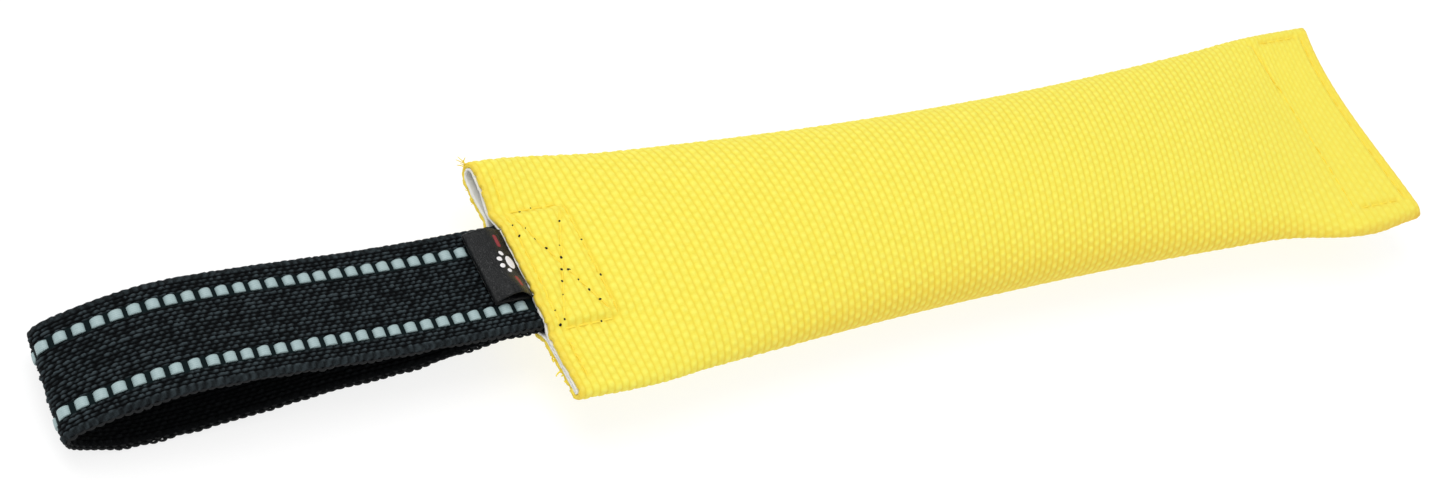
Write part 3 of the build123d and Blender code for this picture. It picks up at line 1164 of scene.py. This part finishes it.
def buildMark(name, patches, material):
    # flat print that follows the leaf: (across, along) outlines
    points, faces = [], []
    for outline in patches:
        outline = np.array(outline)
        middle = outline.mean(0)
        base = len(points)
        rings = [outline, middle + (outline - middle) * 0.9, middle + (outline - middle) * 0.5]
        heights = [0.0, 0.05, 0.06]
        for ring, height in zip(rings, heights):
            for across, along in ring:
                x = mouthX + label["markX"] + along
                z = leafHeight(np.array(x), np.array(across), True)
                z = z + label["ply"] / 2 + height - 0.015
                points.append((x, labelY + across, float(z)))
        count = len(outline)
        for ringIndex in (0, 1):
            for k in range(count):
                n = (k + 1) % count
                a = base + ringIndex * count
                faces.append([a + k, a + count + k, a + count + n, a + n])
        faces.append([base + 2 * count + k for k in range(count - 1, -1, -1)])
    piece = meshObject(name, points, faces, material=material)
    strapBend(piece)


buildLabel()
# a plain paw between two bars
paw = [printedPatch((-0.1, 1.0), 1.75, 1.2)]
for across, along in label["toes"]:
    paw.append(printedPatch((across, along), 0.55, 0.7, turn=0.2 * across, count=14))
buildMark("LabelPaw", paw, markFinish("LabelWhite", colour(205, 203, 202), colour(240, 238, 238)))
bars = [printedPatch((place, 0.1), 1.6, 0.6, power=6.0) for place in label["bars"]]
buildMark("LabelBars", bars, markFinish("LabelRed", colour(110, 18, 30), colour(150, 34, 46)))
print("label done")


sewing = {
    "radius": 0.24,
    "sink": 0.5,
    "dotShare": {"box": 0.5, "cross": 0.85},   # needle holes that show dark webbing
    "dotRadius": 0.24,
}
surfaceTree = BVHTree.FromObject(jacket, bpy.context.evaluated_depsgraph_get())


def onHose(x, y, side):
    # height of the jacket above or below a point
    found = surfaceTree.ray_cast(Vector((x * mm, y * mm, side * 0.2)), Vector((0, 0, -side)))[0]
    return found.z / mm if found else mouthZ


def buildStitches(name, rods, material):
    side = 1 if name.endswith("thread") else -1
    bundle = Bundle()
    dots = Bundle()
    for start, end in rods:
        share = np.linspace(-0.06, 1.06, 11)
        x = start[0] + (end[0] - start[0]) * share
        y = start[1] + (end[1] - start[1]) * share
        x = bowed(x, y)
        z = np.array([onHose(a, b, side) for a, b in zip(x, y)])
        z = np.convolve(np.pad(z, 2, mode="edge"), np.ones(5) / 5, "valid")
        rise = 0.08 - sewing["sink"] * np.abs(2 * np.clip(share, 0, 1) - 1) ** 5
        path = np.stack([x, y, z + side * rise], -1)
        bundle.tube(path, sewing["radius"], value=rng.uniform(0.2, 0.8), twist=0.9)
        if rng.random() < sewing["dotShare"].get(name.split("_")[0], 0):
            size = sewing["dotRadius"] * rng.uniform(0.5, 1.6)
            spot = np.array([x[-1], y[-1], z[-1] + side * 0.02])
            spot[:2] += rng.normal(0, 0.12, 2)
            lean = rng.normal(0, 0.25, 2)
            path = [spot + np.array([lean[0] * t, lean[1] * t, side * (t - 0.6) * 0.45])
                    for t in (0, 0.33, 0.66, 1.0)]
            dots.tube(path, np.array([0.9, 1.0, 0.8, 0.4]) * size, value=0.1)
    title = "".join(part.capitalize() for part in name.split("_"))
    piece = bundle.mesh(title, material)
    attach(piece, "bumper")
    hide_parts(name)
    "needle_thread" if side > 0 else "bobbin_thread"
    if dots.count:
        holes = dots.mesh(title + "Holes", blackYarn)
        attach(holes, "bumper")


yellowThread = yarnFinish("YellowThread", colour(240, 208, 60), colour(249, 230, 82))
for name, rods in stitchRods.items():
    buildStitches(name, rods, yellowThread)
print("sewing done")


frays = {
    "cornerYarns": 6,
    "rimYarns": 40,
    # loops of weft that hang under the strap: share of the way round, length
    "hanging": ((0.6, 2.2), (0.606, 1.7), (0.572, 1.8), (0.566, 1.3), (0.55, 1.0)),
}


def looseYarn(bundle, start, leave, length, curl, radius):
    # one yarn that wanders off from a point
    steps = 14
    heading = np.array(leave, float)
    heading /= np.linalg.norm(heading)
    bend = rng.normal(0, 1, 3)
    bend -= heading * (bend @ heading)
    bend /= np.linalg.norm(bend)
    path = [np.array(start, float)]
    for k in range(steps):
        heading = heading + bend * curl / steps + rng.normal(0, 0.05, 3)
        heading /= np.linalg.norm(heading)
        path.append(path[-1] + heading * length / steps)
    taper = np.linspace(1, 0.55, steps + 1)
    bundle.tube(path, radius * taper, sides=5, value=rng.uniform(0.3, 0.9))


def buildFrays():
    bundle = Bundle()
    for _ in range(frays["cornerYarns"]):
        start = skin[0, 0] + rng.normal(0, 0.3, 3) + [0.2, -0.4, 0.3]
        leave = [-0.9, 0.8, 0.5 + rng.normal(0, 0.4)]
        looseYarn(bundle, start, leave, rng.uniform(1.4, 3.4), rng.uniform(0.6, 1.8), 0.14)
    for share, length in frays["hanging"]:
        start = skin[0, int(aroundCount * share)] + [0.3, 0, 0.4]
        looseYarn(bundle, start, [-0.8, rng.normal(0, 0.4), -0.5], length, 3.2, 0.24)
    for share in rng.uniform(0, 1, frays["rimYarns"]):
        column = int(aroundCount * share)
        start = skin[0, column] - skinNormal[0, column] * rng.uniform(0.1, 0.9) + [0.1, 0, 0]
        leave = [-1, rng.normal(0, 0.6), rng.normal(0, 0.4)]
        looseYarn(bundle, start, leave, rng.uniform(0.3, 0.7), 1.2, 0.11)
    piece = bundle.mesh("MouthFrays", yellowThread)
    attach(piece, "bumper")


buildFrays()
print("frays done")


view = {
    "azimuth": -56.18,
    "elevation": 46.23,
    "roll": 36.1,
    "distance": 0.77736,
    "aim": (-0.07036, 0.00192, 0.0130),
    "lens": 88.80,
}
studio = {
    "floor": 4.0,
    "key": 7.5,
    "keySize": 0.9,
    "fill": 2.4,
    "fillSize": 1.2,
    "sky": 0.72,
}


def placeCamera():
    camera = linked("Camera", bpy.data.cameras.new("Camera"))
    camera.data.lens = view["lens"]
    camera.data.sensor_width = 36.0
    camera.data.clip_start = 0.01
    azimuth, elevation, roll = (radians(view[key]) for key in ("azimuth", "elevation", "roll"))
    flat = cos(elevation)
    back = Vector((sin(azimuth) * flat, -cos(azimuth) * flat, sin(elevation)))
    right = Vector((0, 0, 1)).cross(back).normalized()
    up = back.cross(right)
    turned = cos(roll) * right + sin(roll) * up
    raised = cos(roll) * up - sin(roll) * right
    turn = Matrix((turned, raised, back)).transposed().to_4x4()
    spot = Vector(view["aim"]) + back * view["distance"]
    camera.matrix_world = Matrix.Translation(spot) @ turn
    bpy.context.scene.camera = camera


def areaLight(name, place, size, power):
    lamp = linked(name, bpy.data.lights.new(name, "AREA"))
    lamp.data.shape = "DISK"
    lamp.data.size = size
    lamp.data.energy = power
    lamp.location = place
    lamp.rotation_euler = (-Vector(place)).to_track_quat("-Z", "Y").to_euler()


def studioFloor():
    finish = Finish("StudioFloor")
    white = finish.add("ShaderNodeBsdfDiffuse", {}, {"Color": (0.9, 0.9, 0.9, 1)})
    glow = finish.add("ShaderNodeEmission", {}, {"Color": (1, 1, 1, 1), "Strength": 1.1})
    finish.shown(finish.add("ShaderNodeMixShader", {}, {0: 0.7, 1: white, 2: glow}))
    size = studio["floor"] / 2 / mm
    corners = [(-size, -size, 0), (size, -size, 0), (size, size, 0), (-size, size, 0)]
    floor = meshObject("StudioFloor", corners, [[0, 1, 2, 3]], material=finish.material)


placeCamera()
studioFloor()
areaLight("KeyLight", (-0.5, 0.35, 1.1), studio["keySize"], studio["key"])
areaLight("FillLight", (0.2, -1.0, 0.7), studio["fillSize"], studio["fill"])
world = bpy.data.worlds.new("Studio")
world.use_nodes = True
sky = world.node_tree.nodes["Background"].inputs
sky["Color"].default_value = (1, 1, 1, 1)
sky["Strength"].default_value = studio["sky"]
bpy.context.scene.world = world
bpy.context.scene.view_settings.view_transform = "Standard"
print("studio done")
